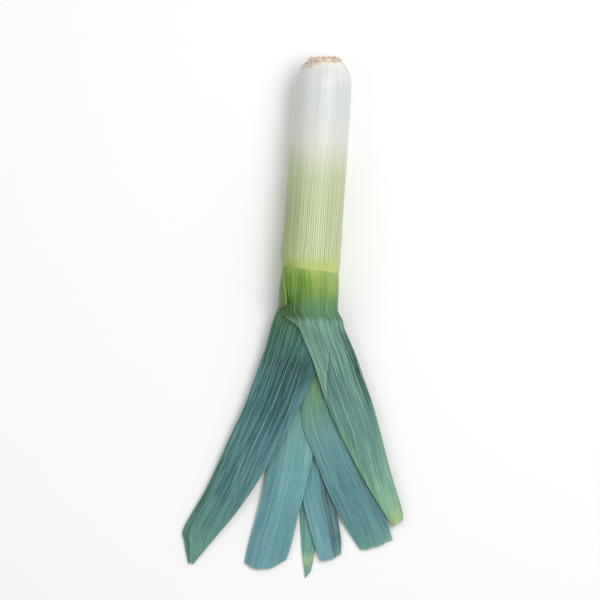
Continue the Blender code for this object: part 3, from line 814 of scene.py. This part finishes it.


# Left outer leaf: the longest and darkest blade, out of the neck's mouth and down to the left.
# Thick waxy leaf, deep green near the neck, with painted shade along its fold, cut off aslant at its end.
LEFT_OUTER_LEAF = [
    ((-8.0, 9.0, 13.4), (25.5, 9.0, 15.0), 9.0),
    ((-11.0, 3.2, 11.8), (24.0, 2.5, 15.2), 6.4),
    ((-14.2, -6.0, 11.6), (20.0, -9.0, 17.0), 3.8),
    ((-18.2, -20.0, 9.8), (17.0, -28.0, 15.0), 4.4),
    ((-21.4, -29.0, 8.6), (12.5, -39.5, 13.8), 4.0),
    ((-30.0, -53.0, 7.0), (-0.5, -66.0, 11.8), 3.0),
    ((-41.5, -78.5, 5.5), (-15.5, -93.5, 9.0), 2.5),
    ((-55.5, -109.0, 3.6), (-33.0, -120.5, 5.5), 2.0),
    ((-70.0, -134.5, 2.0), (-51.0, -142.5, 2.8), 1.2),
    ((-70.0, -143.5, 1.6), (-58.5, -151.5, 2.0), 0.8),
    ((-67.5, -157.0, 1.2), (-64.0, -158.0, 1.3), 0.2),
]


def plain_leaf(name, node, ribs, keel, cut_bow, material, grain_from=0.0):
    points, layers = leaf_surface(node, ribs, keel, cut_bow, 0, grain_from)
    skin_leaf(name, node, points, layers, material)


plain_leaf(
    "left_outer_blade", "left_outer_leaf", LEFT_OUTER_LEAF, (-1.8, -0.2, 0.8), 0.3,
    leaf_material(
        "left_outer_skin",
        [(0.0, leaf_tone(80, 112, 48)), (0.14, leaf_tone(70, 112, 56)), (0.2, leaf_tone(70, 110, 76)),
         (0.26, leaf_tone(58, 96, 86)), (0.38, leaf_tone(28, 62, 50)), (0.5, leaf_tone(46, 84, 84)),
         (0.6, leaf_tone(58, 100, 102)), (0.7, leaf_tone(80, 122, 122)), (0.8, leaf_tone(102, 146, 132)),
         (0.9, leaf_tone(112, 156, 138)), (1.0, leaf_tone(120, 160, 120))],
        [
            # Painted shadow cast by the right outer leaf's left margin along this leaf's right side.
            ([(0.5, 0.0), (0.66, 0.6), (0.8, 0.9)], [(0.2, 0.0), (0.25, 0.9), (0.34, 0.8), (0.4, 0.0)],
             leaf_tone(52, 92, 90)),
            ([(0.82, 0.0), (0.92, 0.8)], [(0.34, 0.0), (0.44, 0.9), (0.6, 0.9), (0.68, 0.0)],
             leaf_tone(104, 152, 156)),
            ([(0.84, 0.0), (0.97, 0.8)], [(0.62, 0.0), (0.68, 1.0)], leaf_tone(112, 154, 136)),
            ([(0.0, 0.9), (0.1, 0.6), (0.2, 0.0)], [(0.16, 1.0), (0.5, 0.8), (0.7, 0.0)],
             leaf_tone(60, 102, 66)),
        ],
        seed=20.0,
        marks=[
            # Painted shade in the strip beyond the fold, then a pale line along the fold itself.
            ("fold", [(0.3, 0.8), (0.49, 0.9), (0.505, 0.0)], leaf_tone(72, 108, 92)),
            ("fold", [(0.485, 0.0), (0.5, 0.9), (0.515, 0.0)], leaf_tone(126, 156, 100)),
        ],
        streaks=[(0.0, leaf_tone(128, 160, 104)), (0.24, leaf_tone(112, 156, 146)),
                 (0.5, leaf_tone(118, 164, 168)), (1.0, leaf_tone(136, 178, 160))],
        strength=[(0.0, 0.75), (0.7, 0.85), (0.85, 0.5), (1.0, 0.4)],
    ),
    grain_from=-1.0,
)


# Right inner leaf: the blue-grey blade under the right outer one, its end cut square.
# Waxy leaf with a pale bloom, greener where it comes out of the neck.
RIGHT_INNER_LEAF = [
    ((-3.5, 8.5, 13.0), (22.0, 8.5, 12.5), 5.5),
    ((-2.0, -8.5, 12.5), (25.0, -7.0, 10.8), 2.6),
    ((0.5, -29.0, 11.1), (28.5, -26.0, 9.7), 1.8),
    ((3.5, -49.5, 10.4), (31.5, -44.0, 8.4), 1.3),
    ((6.5, -71.0, 9.2), (34.0, -62.0, 7.0), 1.1),
    ((12.5, -87.0, 8.2), (38.0, -78.5, 6.4), 1.0),
    ((20.5, -108.0, 5.8), (45.5, -96.5, 5.5), 0.9),
    ((26.5, -121.0, 4.9), (51.5, -110.0, 4.6), 0.8),
    ((34.0, -135.5, 2.6), (58.5, -126.0, 3.4), 0.8),
    ((43.0, -149.5, 1.4), (63.5, -142.5, 1.6), 0.5),
]
plain_leaf(
    "right_inner_blade", "right_inner_leaf", RIGHT_INNER_LEAF, (0.0, 0.0, 0.4), 1.0,
    leaf_material(
        "right_inner_skin",
        [(0.0, leaf_tone(82, 122, 80)), (0.3, leaf_tone(92, 132, 100)), (0.42, leaf_tone(106, 150, 132)),
         (0.55, leaf_tone(96, 143, 148)), (0.7, leaf_tone(84, 130, 138)), (0.88, leaf_tone(88, 134, 142)),
         (0.97, leaf_tone(104, 150, 146)), (1.0, leaf_tone(130, 172, 150))],
        [
            ([(0.22, 0.0), (0.34, 0.75), (0.5, 0.0)], [(0.24, 0.9), (0.33, 1.0), (0.4, 0.6), (0.48, 0.0)],
             leaf_tone(128, 160, 100)),
            # Painted shadow along the right part, under the right outer leaf's margin.
            ([(0.6, 0.0), (0.82, 0.65)], [(0.35, 1.0), (0.85, 1.0), (0.95, 0.3)], leaf_tone(76, 118, 128)),
            ([(0.85, 0.0), (1.0, 0.9)], [(0.93, 0.0), (0.98, 1.0)], leaf_tone(147, 183, 163)),
        ],
        seed=40.0,
    ),
)


# Left inner leaf: the broad pale blue blade under the left outer one, its end cut in a curve.
# Waxy leaf with the heaviest bloom of all.
LEFT_INNER_LEAF = [
    ((-5.0, 7.5, 10.0), (23.0, 7.5, 10.3), 2.0),
    ((-9.5, -18.0, 8.0), (20.0, -18.0, 7.9), 1.6),
    ((-11.0, -43.5, 6.2), (17.5, -45.5, 7.2), 2.2),
    ((-14.0, -72.5, 5.2), (14.5, -75.5, 6.3), 1.6),
    ((-17.0, -96.5, 4.3), (11.0, -95.5, 6.1), 1.5),
    ((-21.0, -116.5, 3.2), (5.5, -118.0, 5.3), 1.4),
    ((-29.0, -146.0, 1.8), (-1.5, -146.5, 2.2), 1.1),
    ((-31.5, -157.5, 1.3), (-4.5, -155.5, 1.4), 0.8),
]
plain_leaf(
    "left_inner_blade", "left_inner_leaf", LEFT_INNER_LEAF, (-0.4, -0.4, 0.4), 5.5,
    leaf_material(
        "left_inner_skin",
        [(0.0, leaf_tone(108, 152, 124)), (0.35, leaf_tone(112, 160, 150)), (0.5, leaf_tone(122, 172, 172)),
         (0.7, leaf_tone(114, 164, 172)), (0.88, leaf_tone(110, 156, 168)),
         (1.0, leaf_tone(114, 160, 172))],
        [([(0.0, 1.0), (0.16, 0.8), (0.34, 0.0)], [(0.3, 1.0), (0.9, 0.6)], leaf_tone(82, 128, 142))],
        seed=60.0,
    ),
)


# Centre leaf: a narrow younger blade folded along its middle, its right half past the fold darkened by
# painted shadow from the right inner leaf's margin.
# Thin waxy leaf.
CENTRE_LEAF = [
    ((-3.0, 7.0, 8.1), (22.0, 7.0, 8.1), -2.0),
    ((-1.0, -21.0, 6.0), (21.5, -21.0, 5.9), -1.0),
    ((0.5, -53.0, 4.5), (22.0, -53.0, 4.6), -0.4),
    ((1.5, -85.0, 3.6), (24.0, -84.0, 3.5), 0.0),
    ((3.5, -104.5, 3.4), (25.5, -103.0, 3.3), 0.2),
    ((6.5, -120.5, 3.2), (27.0, -119.0, 2.8), 0.3),
    ((13.0, -144.5, 3.3), (30.5, -142.0, 1.8), 0.3),
    ((17.0, -156.0, 2.9), (30.5, -151.5, 1.5), 0.2),
]
plain_leaf(
    "centre_blade", "centre_leaf", CENTRE_LEAF, (0.2, 0.2, 0.3), 1.5,
    leaf_material(
        "centre_skin",
        [(0.0, leaf_tone(96, 146, 134)), (0.5, leaf_tone(106, 158, 160)), (0.8, leaf_tone(110, 160, 170)),
         (1.0, leaf_tone(120, 164, 178))],
        # Painted shadow: dark blue over the right half, where the right inner leaf's margin lies over it.
        [([(0.58, 0.0), (0.64, 0.95), (1.0, 0.8)], [(0.4, 1.0), (0.85, 1.0), (0.96, 0.4)],
          leaf_tone(18, 54, 84))],
        seed=80.0,
    ),
)


# Heart leaf: the youngest blade that shows, narrowest and lowest, its point cut aslant.
# Thin waxy leaf, with a yellowed spot near its end.
HEART_LEAF = [
    ((-1.0, 6.5, 5.4), (20.0, 6.5, 5.4), -2.2),
    ((0.5, -27.5, 3.2), (18.0, -27.5, 3.2), -1.0),
    ((1.5, -59.5, 1.9), (16.5, -59.5, 1.9), -0.3),
    ((3.0, -91.5, 1.3), (15.5, -91.5, 1.3), -0.1),
    ((4.5, -134.5, 0.9), (15.5, -133.0, 0.9), 0.0),
    ((5.5, -151.5, 0.85), (14.0, -149.0, 0.85), 0.0),
    ((7.5, -167.0, 0.85), (11.0, -162.5, 0.85), 0.0),
]
plain_leaf(
    "heart_blade", "heart_leaf", HEART_LEAF, (0.0, 0.0, 0.0), 0.6,
    leaf_material(
        "heart_skin",
        [(0.0, leaf_tone(100, 148, 120)), (0.6, leaf_tone(104, 156, 142)), (0.84, leaf_tone(112, 163, 150)),
         (0.89, leaf_tone(174, 196, 136)), (0.93, leaf_tone(130, 168, 140)),
         (1.0, leaf_tone(127, 161, 141))],
        # Painted shadow along the left side, beside the leaf that lies next to it.
        [([(0.0, 0.8), (0.3, 0.0)], [(0.3, 1.0), (0.8, 0.5), (0.86, 0.0)], leaf_tone(70, 116, 116))],
        seed=100.0,
    ),
)


# The surface that it lies on, a plain pale studio board.
FLOOR_HALF_WIDTH = 3.0
FLOOR_DROP = 0.0001
FLOOR_GREY = 0.97
board = bmesh.new()
bmesh.ops.create_grid(board, x_segments=1, y_segments=1, size=FLOOR_HALF_WIDTH)
bmesh.ops.translate(board, vec=(0.0, 0.0, -FLOOR_DROP), verts=board.verts)
board_mesh = bpy.data.meshes.new("board")
board.to_mesh(board_mesh)
board.free()
board_material, _, board_shader = new_material("board_white")
board_shader.inputs["Base Color"].default_value = (FLOOR_GREY, FLOOR_GREY, FLOOR_GREY, 1.0)
board_shader.inputs["Roughness"].default_value = 0.9
board_mesh.materials.append(board_material)
floor = bpy.data.objects.new("board", board_mesh)
bpy.context.scene.collection.objects.link(floor)


# Light: a soft white room, a large lamp above and to the right, and a weak one from the left.
MIDDLE = Vector((0.0, 0.0, 0.01))
ROOM_LIGHT = 0.5


def soft_lamp(name, place, width, power):
    lamp = bpy.data.lights.new(name, "AREA")
    lamp.shape = "SQUARE"
    lamp.size = width
    lamp.energy = power
    made = bpy.data.objects.new(name, lamp)
    made.location = place
    made.rotation_euler = (MIDDLE - Vector(place)).to_track_quat("-Z", "Y").to_euler()
    bpy.context.scene.collection.objects.link(made)


soft_lamp("key", place=(0.5, 0.3, 1.25), width=0.9, power=10.8)
soft_lamp("fill", place=(-0.9, 0.1, 1.0), width=0.8, power=1.8)
room = bpy.data.worlds.new("room")
room.use_nodes = True
room.node_tree.nodes["Background"].inputs["Color"].default_value = (1.0, 1.0, 1.0, 1.0)
room.node_tree.nodes["Background"].inputs["Strength"].default_value = ROOM_LIGHT
bpy.context.scene.world = room
bpy.context.scene.view_settings.view_transform = "Standard"


# Camera: straight above, through a long lens, framed as the picture is.
PICTURE_MIDDLE = (0.00466, 0.01068)
PICTURE_WIDTH = 0.384
FOCUS_HEIGHT = 0.010
LENS = 400.0
SENSOR = 36.0
eye = bpy.data.cameras.new("eye")
eye.lens = LENS
eye.sensor_width = SENSOR
eye_object = bpy.data.objects.new("eye", eye)
eye_object.location = (*PICTURE_MIDDLE, FOCUS_HEIGHT + PICTURE_WIDTH * LENS / SENSOR)
bpy.context.scene.collection.objects.link(eye_object)
bpy.context.scene.camera = eye_object
